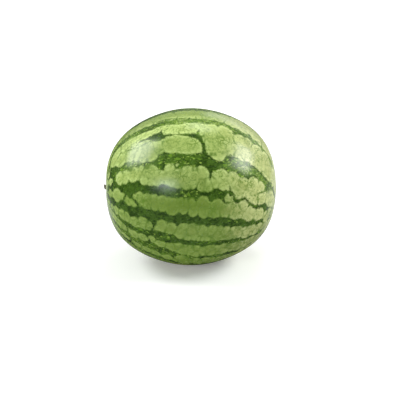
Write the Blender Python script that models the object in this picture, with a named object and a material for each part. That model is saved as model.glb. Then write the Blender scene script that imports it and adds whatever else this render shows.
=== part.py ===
"""A whole round-oval watermelon lying on its side, with the dry stub of its stem.

Metres, +Z up. The long axis runs along X with the stem end at -X. The origin is on
the surface that the fruit rests on, below the middle of the whole object.
"""

import math

import bmesh
import bpy
import numpy as np

# Driving dimensions of the fruit
LENGTH = 0.2404
DIAMETER = 0.219
BLUNTNESS = 2.19  # exponent of the outline: 2 is an ellipse, more is squarer
SHOULDER = 0.00087  # how far the girth and the two shoulders stand out of that outline
LIFT = math.radians(2.1)  # the long axis rises this much towards the blossom end
POLE_DROP = math.radians(14)  # the blossom end's pole sits this far below the long axis
LOBES = 9
LOBE_DEPTH = 0.0004

# The two ends, each a shallow hollow in the rind
STEM_HOLLOW = 0.0024
STEM_HOLLOW_RADIUS = 0.015
BLOSSOM_HOLLOW = 0.0020
BLOSSOM_HOLLOW_RADIUS = 0.019
SCAR_RADIUS = 0.0048
SCAR_HEIGHT = 0.0007

# The flat spot that the fruit rests on
FLAT_SINK = 0.0006
MERGE = 0.0008  # corners of the flat spot closer than this become one

# The stem stub
STUB_LENGTH = 0.0046
STUB_NECK_RADIUS = 0.0030
STUB_FOOT_FLARE = 0.0022
STUB_FOOT_HEIGHT = 0.0010
STUB_END_SWELL = 0.0008
STUB_RIBS = 5
STUB_RIB_DEPTH = 0.00035
STUB_LEAN = 0.0003  # how far the cut end stands above the foot's centre
STUB_CUT_SLANT = math.radians(10)  # the top of the cut end stands out further
STUB_CUT_DISH = 0.0005
STUB_GAP = 0.0003  # between the stub's foot and the rind

# Mesh fineness
FRUIT_RINGS = 48
FRUIT_SEGMENTS = 80
POLE_CROWDING = 0.25  # rings stand closer near the two ends
SCAR_RINGS = (0.0058, 0.0051, 0.0044, 0.0037, 0.0026)  # radii that make its edge crisp
SCAR_MARGIN = 0.0075  # the other rings stay this far from the scar's middle
STUB_SEGMENTS = 40
STUB_RINGS = 9

RIND_COLOUR = (0.235, 0.42, 0.075, 1.0)
STUB_COLOUR = (0.105, 0.085, 0.050, 1.0)


def clear_scene():
    for found in list(bpy.data.objects):
        bpy.data.objects.remove(found)


# Shape of the rind

def directions(polar, around):
    """Unit vectors for an angle from the stem and an angle round the long axis.

    around is 0 towards -Y and a quarter turn towards +Z. Both angles are arrays. The
    lines of equal around meet at the stem and, lower than straight across, at the blossom.
    """
    x = -np.cos(polar)
    y = -np.sin(polar) * np.cos(around)
    z = np.sin(polar) * np.sin(around)
    drop = POLE_DROP * ((1 + x) / 2) ** 2
    return np.stack(
        [x * np.cos(drop) + z * np.sin(drop), y, z * np.cos(drop) - x * np.sin(drop)],
        axis=-1,
    )


def hollow(distance, depth, radius):
    """How far a round hollow lowers the rind at a distance from its centre."""
    return depth * np.exp(-((distance / radius) ** 2))


def rind(polar, around):
    """Points of the rind about the middle of the fruit."""
    heading = directions(polar, around)
    along = heading[..., 0] * math.cos(LIFT) + heading[..., 2] * math.sin(LIFT)
    along = np.clip(along, -1, 1)
    across = np.sqrt(1 - along**2)
    radius = (
        np.abs(along / (LENGTH / 2)) ** BLUNTNESS + (across / (DIAMETER / 2)) ** BLUNTNESS
    ) ** (-1 / BLUNTNESS)
    radius = radius - SHOULDER * np.cos(6 * np.arccos(along))
    ridge = np.cos(LOBES * (around + math.pi / 2))  # one lobe is straight below
    radius = radius + LOBE_DEPTH * ridge * np.sin(polar) ** 2
    from_stem = radius * polar
    from_blossom = radius * (math.pi - polar)
    radius = radius - hollow(from_stem, STEM_HOLLOW, STEM_HOLLOW_RADIUS)
    radius = radius - hollow(from_blossom, BLOSSOM_HOLLOW, BLOSSOM_HOLLOW_RADIUS)
    radius = radius + SCAR_HEIGHT * np.exp(-((from_blossom / SCAR_RADIUS) ** 6))
    return heading * radius[..., None]


# Meshes

def closed_surface(name, first_pole, rings, last_pole):
    """A closed mesh from a pole, rings of equal length and a second pole."""
    mesh = bmesh.new()
    start = mesh.verts.new(first_pole)
    loops = [[mesh.verts.new(point) for point in ring] for ring in rings]
    end = mesh.verts.new(last_pole)
    count = len(loops[0])
    for i in range(count):
        j = (i + 1) % count
        mesh.faces.new((start, loops[0][j], loops[0][i]))
        for near, far in zip(loops, loops[1:]):
            mesh.faces.new((near[i], near[j], far[j], far[i]))
        mesh.faces.new((loops[-1][i], loops[-1][j], end))
    bmesh.ops.recalc_face_normals(mesh, faces=mesh.faces)
    data = bpy.data.meshes.new(name)
    mesh.to_mesh(data)
    mesh.free()
    made = bpy.data.objects.new(name, data)
    bpy.context.scene.collection.objects.link(made)
    return made


def material(name, colour, roughness):
    made = bpy.data.materials.new(name)
    made.use_nodes = True
    shader = made.node_tree.nodes["Principled BSDF"]
    shader.inputs["Base Color"].default_value = colour
    shader.inputs["Roughness"].default_value = roughness
    shader.inputs["Metallic"].default_value = 0.0
    return made


def fruit():
    """The rind's closed surface; the flesh behind it makes one solid with it."""
    steps = np.arange(1, FRUIT_RINGS) / FRUIT_RINGS
    polar = math.pi * steps - POLE_CROWDING * np.sin(2 * math.pi * steps)
    plain = polar[polar < math.pi - SCAR_MARGIN / (LENGTH / 2)]
    scar = math.pi - np.array(SCAR_RINGS) / (LENGTH / 2)
    polar = np.concatenate([plain, scar])
    around = np.linspace(0, 2 * math.pi, FRUIT_SEGMENTS, endpoint=False)
    rings = rind(polar[:, None] * np.ones_like(around), np.ones_like(polar)[:, None] * around)
    poles = rind(np.array([0.0, math.pi]), np.zeros(2))
    made = closed_surface("fruit", poles[0], rings, poles[1])
    made.data.materials.append(material("rind", RIND_COLOUR, 0.35))
    return made


def flatten_base(made):
    """Cuts the flat spot and fills it with one face."""
    mesh = bmesh.new()
    mesh.from_mesh(made.data)
    floor = min(v.co.z for v in mesh.verts) + FLAT_SINK
    cut = bmesh.ops.bisect_plane(
        mesh,
        geom=mesh.verts[:] + mesh.edges[:] + mesh.faces[:],
        plane_co=(0, 0, floor),
        plane_no=(0, 0, -1),
        clear_outer=True,
    )
    corners = [v for v in cut["geom_cut"] if isinstance(v, bmesh.types.BMVert)]
    bmesh.ops.remove_doubles(mesh, verts=corners, dist=MERGE)
    rim = [e for e in mesh.edges if e.is_boundary]
    bmesh.ops.contextual_create(mesh, geom=rim)
    bmesh.ops.recalc_face_normals(mesh, faces=mesh.faces)
    mesh.to_mesh(made.data)
    mesh.free()
    return floor


def stub_ring(height, radius):
    """One ring of the stub: ribbed, leaning a little, and square to the long axis."""
    turn = np.linspace(0, 2 * math.pi, STUB_SEGMENTS, endpoint=False)
    ribbed = radius + STUB_RIB_DEPTH * min(1.0, radius / STUB_NECK_RADIUS) * np.cos(
        STUB_RIBS * turn
    )
    rise = ribbed * np.sin(turn)
    share = height / STUB_LENGTH
    reach = height + share * math.tan(STUB_CUT_SLANT) * rise
    return np.stack([-reach, -ribbed * np.cos(turn), rise + STUB_LEAN * share**2], axis=-1)


def stub_foot(share):
    """A ring of the foot, which follows the rind's hollow at an even gap."""
    turn = np.linspace(0, 2 * math.pi, STUB_SEGMENTS, endpoint=False)
    reach = share * (STUB_NECK_RADIUS + STUB_FOOT_FLARE
                     + STUB_RIB_DEPTH * np.cos(STUB_RIBS * turn))
    ring = rind(reach / (LENGTH / 2), turn)
    ring[:, 0] -= STUB_GAP
    return ring


def stub():
    """The short, dry, five-ribbed stub of the stem, flared at its foot and cut across."""
    base = rind(np.zeros(1), np.zeros(1))[0]
    base[0] -= STUB_GAP
    rings = [stub_foot(0.5), stub_foot(1.0)]
    for step in range(1, STUB_RINGS + 1):
        height = STUB_LENGTH * step / STUB_RINGS
        flare = STUB_FOOT_FLARE * math.exp(-height / STUB_FOOT_HEIGHT)
        swell = STUB_END_SWELL * (step / STUB_RINGS) ** 3
        rings.append(base + stub_ring(height, STUB_NECK_RADIUS + flare + swell))
    end_radius = STUB_NECK_RADIUS + STUB_END_SWELL
    for share in (0.86, 0.45):
        dish = STUB_CUT_DISH * (1 - share**2)
        rings.append(base + stub_ring(STUB_LENGTH - dish, share * end_radius))
    centre = base + np.array([-(STUB_LENGTH - STUB_CUT_DISH), 0.0, STUB_LEAN])
    made = closed_surface("stem_stub", base, rings, centre)
    made.data.materials.append(material("dry_stem", STUB_COLOUR, 0.85))
    return made


def stand_on_origin(made, floor):
    """Puts the flat spot at z = 0, and the middle of the whole object over the origin."""
    corners = np.array([v.co for part in made for v in part.data.vertices])
    middle = (corners.min(axis=0) + corners.max(axis=0)) / 2
    for part in made:
        for vertex in part.data.vertices:
            vertex.co.x -= middle[0]
            vertex.co.y -= middle[1]
            vertex.co.z -= floor


def shade(made, sharp_angle):
    made.data.shade_smooth()
    made.data.set_sharp_from_angle(angle=math.radians(sharp_angle))


def main():
    clear_scene()
    body = fruit()
    stem = stub()
    floor = flatten_base(body)
    stand_on_origin([body, stem], floor)
    shade(body, 40)
    shade(stem, 50)


main()
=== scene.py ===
"""Looks of the whole striped watermelon: its rind, its dry stem stub, and the studio.

Everything is in metres in the frame's axes: the stem end at -X, the blossom end at +X,
and the fruit resting on z = 0. Places on the rind are given by two angles in degrees,
polar from the stem and around the long axis: 0 faces -Y, and 90 is the top.
"""

import math

import bpy
import numpy as np
from mathutils import Matrix, Quaternion, Vector, kdtree


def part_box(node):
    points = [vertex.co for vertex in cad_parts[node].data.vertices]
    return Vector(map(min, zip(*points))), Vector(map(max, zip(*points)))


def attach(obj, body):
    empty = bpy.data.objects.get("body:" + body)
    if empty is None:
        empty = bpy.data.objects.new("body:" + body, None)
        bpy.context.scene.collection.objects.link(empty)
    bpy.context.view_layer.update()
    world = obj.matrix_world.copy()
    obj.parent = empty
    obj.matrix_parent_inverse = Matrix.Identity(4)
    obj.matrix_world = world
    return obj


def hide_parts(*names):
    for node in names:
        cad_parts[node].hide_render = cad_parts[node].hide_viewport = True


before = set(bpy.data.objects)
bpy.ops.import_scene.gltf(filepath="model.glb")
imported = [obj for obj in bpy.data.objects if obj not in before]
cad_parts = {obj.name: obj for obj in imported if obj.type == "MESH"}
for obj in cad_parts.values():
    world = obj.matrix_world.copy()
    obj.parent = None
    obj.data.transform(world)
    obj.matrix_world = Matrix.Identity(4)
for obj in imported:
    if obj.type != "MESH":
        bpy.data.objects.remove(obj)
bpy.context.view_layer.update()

MM = 0.001

# The fruit's own measures, as in the solid
LENGTH = 0.2404
DIAMETER = 0.219
BLUNTNESS = 2.19  # exponent of the outline: 2 is an ellipse, more is squarer
SHOULDER = 0.00087  # how far the girth and the two shoulders stand out of that outline
SHOULDER_WAVES = 6.0  # half waves of that from end to end
LIFT = math.radians(2.1)  # the long axis rises this much towards the blossom end
POLE_DROP = math.radians(14)  # the blossom end's pole sits this far below the long axis
RIBS = 9
RIB_DEPTH = 0.0004
STEM_HOLLOW = (0.0024, 0.015)  # depth and radius
BLOSSOM_HOLLOW = (0.0020, 0.019)
SCAR = (0.0007, 0.0048)  # height and radius
SCAR_SQUARENESS = 6.0  # how steeply the scar's edge falls off; a hollow's is 2
FLAT_SINK = 0.0006

# The stem stub's own measures, also as in the solid
STUB_LENGTH = 0.0046
STUB_NECK = 0.0030
STUB_FLARE = 0.0022
STUB_FOOT = 0.0010
STUB_SWELL = 0.0008
STUB_RIBS = 5
STUB_RIB_DEPTH = 0.00035
STUB_LEAN = 0.0003
STUB_SLANT = math.radians(10)
STUB_DISH = 0.0005
END_CURVE = 0.1  # radius of the fruit's curve where the stub stands

# Finer than the solid
WAVE_DEPTH = 0.00022  # the low swells of the skin, all of them inwards
WAVE_SCALE = 5.0
CUBE_STEPS = 129  # points along each edge of the cube that becomes the fruit
STUB_TRIM = 0.00008  # keeps the stub's finer ribs within the solid's
STUB_GROOVES = 0.00035  # depth of the dry fibres' grooves
GROOVE_SCALE = 9.0  # round the stub
WORN_SCALE = 900.0  # on its cut face
STUB_SEGMENTS = 200
STUB_RINGS = 96
STUB_PATH = (0.125, 0.75)  # where its foot and its side end, along the way to its cut face

# Markings: dark stripes as (polar, around, half width in mm, depth of colour)
STRIPES = {
    "crown": [(0, 95, 1.2, 0.8), (20, 99, 3, 0.8), (40, 100, 6.6, 0.8), (60, 98, 9.5, 0.8),
              (80, 97, 9, 0.75), (100, 97.5, 8, 0.7), (120, 100, 5, 0.6), (150, 98, 2.4, 0.6),
              (180, 90, 1.2, 0.6)],
    "high": [(0, 33, 1.2, 0.7), (18, 33, 1.6, 0.7), (20.8, 37, 3.2, 0.7), (22.2, 48, 3.6, 0.72),
             (23.5, 59, 3.4, 0.64), (26, 69, 3.2, 0.64), (30, 74.4, 3.2, 0.64),
             (34, 75.6, 3.4, 0.64), (38, 75.8, 3.6, 0.64), (42, 75.5, 3.8, 0.62),
             (46, 75.5, 3.4, 0.6), (50, 75.2, 3.8, 0.62), (54, 74.8, 4.2, 0.66),
             (58, 74.6, 4.2, 0.68), (62, 74.4, 4.2, 0.68), (66, 75.2, 3.6, 0.67),
             (70, 75.6, 3.6, 0.6), (75, 74.4, 3.6, 0.55), (80, 73.2, 3.2, 0.52),
             (86, 73.6, 3.2, 0.54), (92, 74.4, 3.2, 0.56), (97, 75, 3.4, 0.56),
             (103, 75.2, 3.6, 0.58), (108, 74.8, 3.8, 0.55), (112, 73.4, 4.2, 0.61),
             (115.5, 71.8, 4.6, 0.67), (119, 72.4, 2.8, 0.65), (122.5, 71.8, 2.8, 0.61),
             (126, 71.2, 3.8, 0.63), (130, 70.8, 3, 0.57), (134, 71, 2.6, 0.55),
             (141, 70, 2, 0.45), (150, 71, 1.4, 0.35), (162, 73, 1.2, 0.35), (180, 72, 1, 0.4)],
    "main": [(0, 33, 1.2, 0.7), (20, 35, 2.6, 0.8), (30, 38.5, 3.4, 0.85), (38, 38.8, 1.8, 0.75),
             (43, 39.2, 2.4, 0.6), (49, 39, 2.6, 0.6), (55, 37.6, 1.6, 0.65),
             (61, 37.2, 1.4, 0.75), (66, 38.6, 6.6, 0.76), (70, 38.2, 8.4, 0.78),
             (75, 38.8, 7, 0.76), (80, 37.2, 6.6, 0.78), (86, 37, 6.4, 0.79), (92, 38, 6.4, 0.8),
             (98, 38.2, 5.2, 0.9), (102, 36.4, 5.2, 0.92), (106, 37.2, 5.4, 0.86),
             (111, 38.6, 6.2, 0.8), (114, 39.4, 7.6, 0.78), (118, 39.2, 7, 0.6),
             (122, 39.4, 8, 0.58), (126, 39.6, 7, 0.5), (131, 40.3, 5, 0.5), (136, 39.6, 4, 0.55),
             (141, 38, 3.8, 0.6), (148, 38.5, 2.6, 0.65), (165, 35, 2, 0.7), (180, 34, 1.2, 0.6)],
    "middle": [(0, 14, 1.2, 0.75), (20, 18.5, 2.2, 0.85), (26, 18.8, 2.2, 1), (32, 19, 3, 1),
               (38, 19.1, 3, 1), (44, 18.8, 4.6, 1), (51, 18.6, 4.2, 1), (58, 18.1, 4.2, 1),
               (62, 17.4, 4.1, 1), (66, 17.5, 4.6, 1), (69.5, 17.4, 6.6, 1), (73.3, 16.4, 7.6, 1),
               (76.3, 15.2, 7, 0.95), (80, 14.3, 5.8, 0.86), (86, 14.3, 4.2, 0.8),
               (92, 14.8, 4.8, 0.82), (96, 14.9, 2.8, 0.92), (99.5, 15.1, 1.9, 0.95),
               (103, 14.6, 3.2, 1), (106, 15.5, 4.4, 1), (110, 16, 3, 0.97),
               (113.5, 17.8, 1.2, 0.9), (118, 16.5, 1.6, 0.9), (122, 13.8, 2.4, 0.9),
               (126, 14.6, 2, 0.9), (132, 12.8, 2.2, 0.9), (140, 11.5, 2.6, 0.9),
               (160, 12, 2, 0.8), (180, 12, 1.2, 0.7)],
    "low": [(0, -4, 1.2, 0.8), (20, -1, 2.4, 0.85), (29, 0, 2.4, 0.95), (37, 0.6, 3, 1),
            (43, -1.2, 3.8, 1), (51, -2.6, 4.8, 1), (58, -2.2, 4.2, 1), (62, -3.2, 5.4, 1),
            (66, -3.8, 7.4, 1), (70, -2.2, 5.2, 0.97), (76, -3.8, 4.6, 0.97),
            (84, -3.6, 6.4, 0.97), (100, -5, 5, 0.95), (120, -6, 4.2, 0.9), (150, -7, 2.4, 0.8),
            (180, -8, 1.2, 0.7)],
    "belly": [(0, -22, 1.2, 0.7), (20, -10, 1, 0.7), (28, -12, 1.2, 0.75), (35, -15.5, 1.4, 0.75),
              (42, -18.5, 1.6, 0.8), (50, -20.3, 2.2, 0.85), (60, -20.8, 2.8, 0.85),
              (70, -20.5, 4, 0.85), (80, -22, 4.6, 0.9), (100, -24, 5.2, 0.9),
              (130, -24, 4.2, 0.85), (160, -24, 2.4, 0.8), (180, -28, 1.2, 0.7)],
    "under": [(0, -38, 1.2, 0.6), (20, -30, 1.2, 0.65), (30, -31.8, 1.5, 0.7),
              (40, -32.5, 1.9, 0.65), (52, -33.5, 3, 0.68), (60, -34, 4.6, 0.7),
              (70, -37, 5.6, 0.74), (90, -40, 5.4, 0.78), (120, -42, 4.4, 0.75),
              (150, -42, 2.6, 0.7), (180, -46, 1.2, 0.6)],
    "floor": [(0, -56, 1.2, 0.6), (20, -44, 1.2, 0.65), (35, -44, 1.6, 0.7), (50, -47, 2.6, 0.62),
              (60, -49.5, 3.6, 0.66), (80, -51.5, 4.8, 0.72), (110, -57, 4.4, 0.8),
              (140, -60, 3.4, 0.7), (180, -64, 1.2, 0.6)],
}
BACK_STRIPES = (-75, -95, -113, -138, -158, 178, 156, 138, 118)  # around, at mid-length
CORE_MARGIN = (1.5, 4.6)  # mm from a thin and a wide stripe to the plain middle of a band
CORE_GROWTH = (1.2, 0.6)  # that margin between them: share of the half width, and mm more

# Light lobes that bulge into the stripes: polar, around and radius in mm
LOBES = [
    # Between the stripes high and main
    (33, 60, 9), (37.5, 49, 11), (47, 49.8, 11.3), (52, 47.5, 10), (56.5, 45.2, 11),
    (61.5, 45, 11.3), (66, 48.4, 9.6), (66, 50.5, 11), (75, 50, 12), (86.6, 50.6, 16.4),
    (104.6, 49.5, 14.4), (105.5, 45.6, 11.5), (113, 55, 12), (121, 52.5, 13), (132, 50, 12.5),
    (142, 50, 14), (42, 61, 9), (51, 62, 10), (60, 64.6, 8), (68, 66, 9), (74, 63, 11),
    (84, 65, 10), (93, 65.5, 11), (101, 64.5, 13), (108, 65, 14), (119, 62, 13), (123, 64.6, 8.6),
    (131, 61.5, 12.5), (138, 61, 13),
    # Between main and middle
    (20, 27, 4.5), (25.6, 26.5, 5.5), (38, 28.4, 9.3), (41.5, 28.2, 9), (49.2, 29.8, 10.6),
    (62, 29.6, 11.4), (58, 24.5, 7.5), (47.5, 33.6, 4.2), (55, 34.2, 3.6), (60, 33.8, 4),
    (75, 32.5, 6.4), (79.7, 34.3, 2.2), (74, 24.5, 9), (83, 25.5, 13), (86.5, 27, 13.2),
    (91, 27, 11.5), (95.5, 29.5, 9), (97, 21, 8.5), (104.5, 23.5, 7.5), (108.5, 28.5, 11),
    (111, 24, 9), (116, 28.5, 10.5), (121.5, 20, 9.3), (124, 27.5, 9), (131, 29.2, 10.6),
    (137, 29.5, 9), (128, 19, 9), (134, 18, 9), (140, 21, 10), (150, 25, 12), (62.5, 24, 8),
    (66, 24.2, 8), (71.5, 25.5, 8.5), (76.5, 24, 9.5), (80.5, 21.9, 8.5), (86, 21.8, 9),
    (89.6, 22.6, 9.2), (100, 21.4, 9),
    # Between middle and low
    (25, 10, 6), (34.4, 10, 9.6), (45.5, 5.5, 5.4), (49.5, 3.8, 4), (53.5, 11, 7), (60, 7.3, 10.3),
    (60, 8.8, 8.2), (64.5, 8.6, 9), (65, 6, 9), (71, 6.5, 10.5), (70, 8.6, 8), (74.5, 7.8, 8),
    (77, 4.6, 11), (78.5, 8, 6.5), (83, 8, 7.5), (81.5, 7, 8), (85, 3.5, 7), (86.5, 8, 7),
    (89.7, 8.4, 6.5), (92, 2.5, 7.5), (98.2, 9.6, 8.2), (99, 2, 8), (108, 8.5, 8.3), (106, 3, 9),
    (115.3, 14.4, 6), (114, 6, 10), (122, 5, 11), (126, 9.5, 8.8), (133, 4, 11), (141, 4, 10),
    # Between low and belly
    (23, -6, 4), (28, -8.5, 4.5), (33.5, -9, 5.8), (39.5, -10, 7.6), (43.5, -10, 7),
    (50, -12.6, 8.3), (56.5, -10.6, 8.3), (60.3, -12, 6), (70.5, -9.9, 8), (77.5, -11.6, 8.5),
    (86, -14, 9),
    # Between belly and under
    (25, -20, 4), (31, -22, 5.5), (37, -24.5, 6.5), (40, -26, 5.6), (49, -27.2, 7.4),
    (56, -26.8, 7.2), (63, -25, 5.5), (69, -28.5, 7), (78, -30, 8),
    # Between under and floor
    (28, -38, 4), (34, -38.5, 5), (41, -38.8, 5.2), (51.5, -41.5, 6), (59, -42, 6.8), (66, -43, 6),
    (75, -45, 7.5),
]
# Where that list holds, not the seeded rule: from and to around, then from and to polar
HAND_SET = ((39, 74, 22, 148), (-5, 39, 18, 148), (-50, -5, 20, 82))

# Dark strokes across the light bands: polar, around and half width in mm along each
STROKE_DEPTHS = {"blot": 0.97, "hook": 0.94, "blot spike": 0.85, "hook spike": 0.75,
                 "high upper": 0.74, "high lower": 0.7, "high patch": 0.68,
                 "crease left": 0.55, "crease upper": 0.5, "rim upper": 0.82,
                 "rim lower": 0.82, "spur up": 0.75, "curve right": 0.72, "gap stem": 0.84}
STROKE_DEPTH = 0.95  # of the other strokes
STROKE_PULL = 1.2  # mm over which a stroke's colour gives way to its stripe's
STROKE_FRAY = 0.8  # how much more ragged its edges are
STROKES = {
    "blot": [(52, 59.6, 0.6), (57, 60.6, 1.6), (61, 60.6, 3.6), (64, 60.2, 6.2), (67, 59.4, 7),
             (69.5, 58.8, 4.6), (72, 59.4, 2), (76, 59.3, 0.9), (80, 58.9, 0.8)],
    "hook": [(80, 58.9, 0.8), (83, 58.3, 1.5), (85.8, 58, 2.4), (88.2, 57.9, 3.2),
             (90.8, 57.6, 4.2), (93, 56, 3.6), (94.6, 53.5, 2.8), (95.8, 50.4, 2.3),
             (96.3, 46.6, 2.4), (96.8, 42, 4.8)],
    "blot spike": [(66.5, 60, 4), (67.6, 63.4, 2.4), (68.4, 66, 0.6)],
    "hook spike": [(91.6, 59, 2.4), (92.2, 61.4, 1.6), (92.6, 63.4, 0.8)],
    "high upper": [(65, 78.4, 0.8), (69, 79, 1.5), (74, 78.4, 1.4), (79, 76.6, 1.2),
                   (85, 75.4, 1.4), (91, 75.2, 1.2), (96, 75.6, 1.2)],
    "high lower": [(66.5, 75.4, 2.2), (71, 75.2, 2.4), (76, 73.4, 1.8), (78.5, 72.4, 0.8)],
    "high patch": [(112.8, 72.2, 1.8), (115.4, 71.3, 4.4), (118, 72, 2)],
    "gap lobe": [(44, 15, 2.8), (42.8, 11, 1.9), (41.4, 7.4, 1.5), (40.5, 3.4, 1.8)],
    "crease left": [(35.5, 59.6, 0.5), (37.5, 58, 1), (41, 56.6, 0.9), (44.8, 55.8, 1),
                    (51, 54.8, 0.9), (56.2, 56, 0.9), (61, 57.2, 0.7)],
    "crease upper": [(43, 58.6, 0.4), (45.2, 60.3, 0.7), (48.5, 61.5, 0.8), (51.5, 62.2, 0.7),
                     (55.2, 61.2, 0.9)],
    "spur up": [(113, 39, 4.4), (114, 43, 4), (113.6, 45.6, 2.6)],
    "spur": [(101, 36, 5), (101.3, 31, 3.2), (101.3, 27.5, 1.6), (101, 25.5, 0.4)],
    "gap low": [(46, 18, 7.5), (46, 15, 7), (46.2, 12.6, 5.4), (46.6, 10.6, 3.2), (49.2, 8.2, 1.5),
                (51.6, 5.4, 1.6), (53.2, 2.4, 2.4), (54, 0, 3)],
    "gap stem": [(26, 47, 1.6), (28.5, 43.5, 2.6), (30.5, 38, 4.2), (31, 31, 3.8), (31.5, 25, 4),
                 (32, 20, 3.4)],
    "gap belly": [(65, -5, 4), (64.3, -12, 1.6), (63, -18, 2.4)],
    "cusp main": [(70.5, 36, 3), (70.6, 32.5, 1.6), (70.2, 30.5, 0.3)],
    "spur right": [(116.6, 17, 2.2), (115.8, 19.4, 1.7), (115, 22.2, 0.6)],
    "bead lobe": [(111.4, 15.6, 1.6), (111.2, 12.6, 1.3), (113.2, 10.6, 1), (116, 10.8, 0.8)],
    "beads": [(116.5, 19, 1.8), (118.6, 16.2, 1.4), (119.8, 13.6, 1.8), (122, 12.6, 1.7),
              (124, 14.6, 1.5), (126.6, 16.6, 1.6), (129, 14.6, 1.3), (132, 12.6, 1.8),
              (136, 10.8, 2.2), (139.5, 11.2, 2), (142, 13.6, 1.6), (143, 15.5, 0.4)],
    "curve right": [(148, 41, 4), (146, 36, 3.4), (143.5, 31, 2.2), (140, 27, 1.2),
                    (137.5, 25, 0.4)],
    "rim upper": [(124, 45.4, 1), (127.5, 44.2, 1.8), (131.5, 43.8, 2), (136, 42, 2.2),
                  (141, 40.4, 2.4), (147, 39.6, 2.6)],
    "rim lower": [(119, 35.4, 0.8), (121.5, 34.9, 1.6), (125, 34.2, 2), (128.5, 36.2, 1.8),
                  (132, 37.2, 1.4)],
    "gap under": [(42.5, -20, 1.6), (44, -26, 0.9), (43.5, -31, 1.4)],
    "gap floor": [(46.5, -34, 2.2), (46.3, -39, 1.8), (45, -44, 1.2)],
    "notch": [(60, -31, 2.5), (61.3, -28, 2), (61, -26, 0.6)],
}

# Where a fine dark net shows: polar, around and radius in mm
CRACKLES = [(108, 57, 17), (114, 60, 11), (89, 52, 13), (60, 56, 9), (121, 46, 11), (84, 27, 13),
            (128, 29, 12), (57, 7, 12), (104, 5, 15), (97, 84, 16), (131, 63, 12), (52, -13, 10)]

# Where the lobes run together with hardly a crease: polar, around and radius in mm
SMOOTH = [(70, 52, 9), (74.5, 55, 7), (79, 50, 9), (80, 55, 7), (89, 54, 7), (45, 68, 9),
          (56, 67, 11), (66, 68, 12), (76, 67, 13), (86, 67, 14), (96, 67, 15), (108, 65, 12),
          (55, 85, 14), (70, 85, 15), (85, 85, 16), (100, 84, 16), (115, 83, 15), (128, 82, 14),
          (140, 80, 14), (39.8, 28, 6), (44.8, 29, 7), (67, 24, 10), (76, 24, 10), (87, 25, 13),
          (57, 8.5, 9), (72, 7.5, 13), (81, 7, 8), (104, 7, 9), (33, 10, 9), (47.5, 4.6, 6),
          (131, 28, 11), (129, 19, 9), (135, 58, 13), (140, 50, 16), (150, 48, 16), (152, 62, 14),
          (152, 24, 14), (29, -8, 7)]
SMOOTHING = 6  # mm that the middle of such a place adds to the distance from a crease

# How pale the light bands are, from 0 to 1, by the angle around: partly their own tone and partly
# painted light and shade, palest on the upper front and darkest facing forward and below
PALENESS_AND_PAINTED_LIGHT = [(-180, 0.35), (-140, 0.45), (-100, 0.3), (-75, 0.25), (-40, 0.2), (-27, 0.2),
            (-12, 0.15), (-4, 0.1), (6, 0.06), (15, 0.2), (27, 0.7), (38, 0.62), (47, 0.5),
            (55, 0.56), (58, 0.6), (60.5, 0.9), (66, 0.94), (76, 0.8), (84, 0.42), (100, 0.3),
            (125, 0.45), (155, 0.3), (180, 0.35)]

# Other measures of the markings, in mm
CALM_GIRTH = 85  # from the long axis, inside of which the edges grow calmer
MEAN_RADIUS = 112  # from the long axis to the rind, about
MM_PER_DEGREE = 1.9  # of polar angle, along the fruit
LEAST_GIRTH = 8  # that the far side's lobes reckon with near the ends
LOBE_REACH = 8  # past its radius that a lobe still counts, for the creases between lobes
FAR = 99.0  # outside a stripe or a stroke, before any is laid
LOBE_FAR = 30.0  # outside a lobe, before any is laid

# The seeded rule of the far side: the ranges that it draws from
FAR_WANDER = 1.7  # degrees, about
FAR_HALF_WIDTHS = (2.6, 8.2)  # mm, where the fruit is wide
FAR_DEPTHS = (0.55, 1.0)
STRIPE_TAPER = ((0, 0.22), (15, 0.42), (40, 0.85), (140, 0.85), (165, 0.42), (180, 0.22))
FAR_STROKE_DEPTH = 0.7
FAR_STROKE_PLACES = ((35, 90), (80, 145))  # polar: where two ranges begin, and where they end
FAR_STROKE_REACHES = (0.45, 0.6, 1.0)  # shares of the band that a stroke crosses
FAR_STROKE_LEAN = 7  # degrees either way
FAR_STROKE_BOW = 2.5
FAR_STROKE_ROOTS = (3.0, 5.0)  # half width in mm where it leaves its stripe
FAR_LOBES_START = (6, 10)  # polar angle of the first lobe in a row
FAR_LOBES_END = 174
FAR_LOBE_SIZES = (4.5, 11.5)  # mm, where the fruit is wide
FAR_LOBE_STEPS = (0.8, 1.5)  # from one lobe to the next, in radii
LOBE_TAPER = ((0, 0.3), (12, 0.5), (40, 1), (140, 1), (168, 0.5), (180, 0.3))
MIDDLE_ROW = (0.35, 0.65)  # shares of the band
OVERLAP = 0.6  # mm by which a lobe covers a stripe's edge
FAR_SMOOTH = ((20, 105), (160, 300), (60, 2))  # from and to polar and around, and how many
FAR_SMOOTH_SIZES = (8, 20)
SEEDS = {"far stripes": 7, "far strokes": 31, "far lobes": 11, "tones and far patches": 23}

# Colours, linear
LIGHT_DEEP = (0.185, 0.285, 0.042)
LIGHT_PALE = (0.520, 0.650, 0.215)
# the blossom side's tint: partly its own colour, partly a painted sheen
BLOSSOM_TINT_AND_SHEEN = (0.570, 0.610, 0.260)
OLIVE_SHADE = (0.82, 0.82, 0.72)  # what the middle of a lobe and its rim are multiplied by
# the lobes' paler rims: partly their own tint, partly painted light as on a bulging lobe
RIM_TINT_AND_LIGHT = (1.22, 1.18, 1.30)
VEIN = (0.105, 0.200, 0.020)
CREASE = (0.085, 0.170, 0.016)
DARK_DEEP = (0.020, 0.050, 0.003)
DARK = (0.060, 0.128, 0.012)
DARK_MOTTLE = (0.125, 0.245, 0.018)
FLECK = (0.300, 0.440, 0.070)
GROUND_SPOT = (0.62, 0.55, 0.22)
CORK = (0.120, 0.088, 0.036)
CORK_PALE = (0.33, 0.25, 0.13)
STEM_BROWN = (0.055, 0.046, 0.030)
STEM_PALE = (0.26, 0.22, 0.13)
STEM_PITH = (0.33, 0.27, 0.16)

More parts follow.
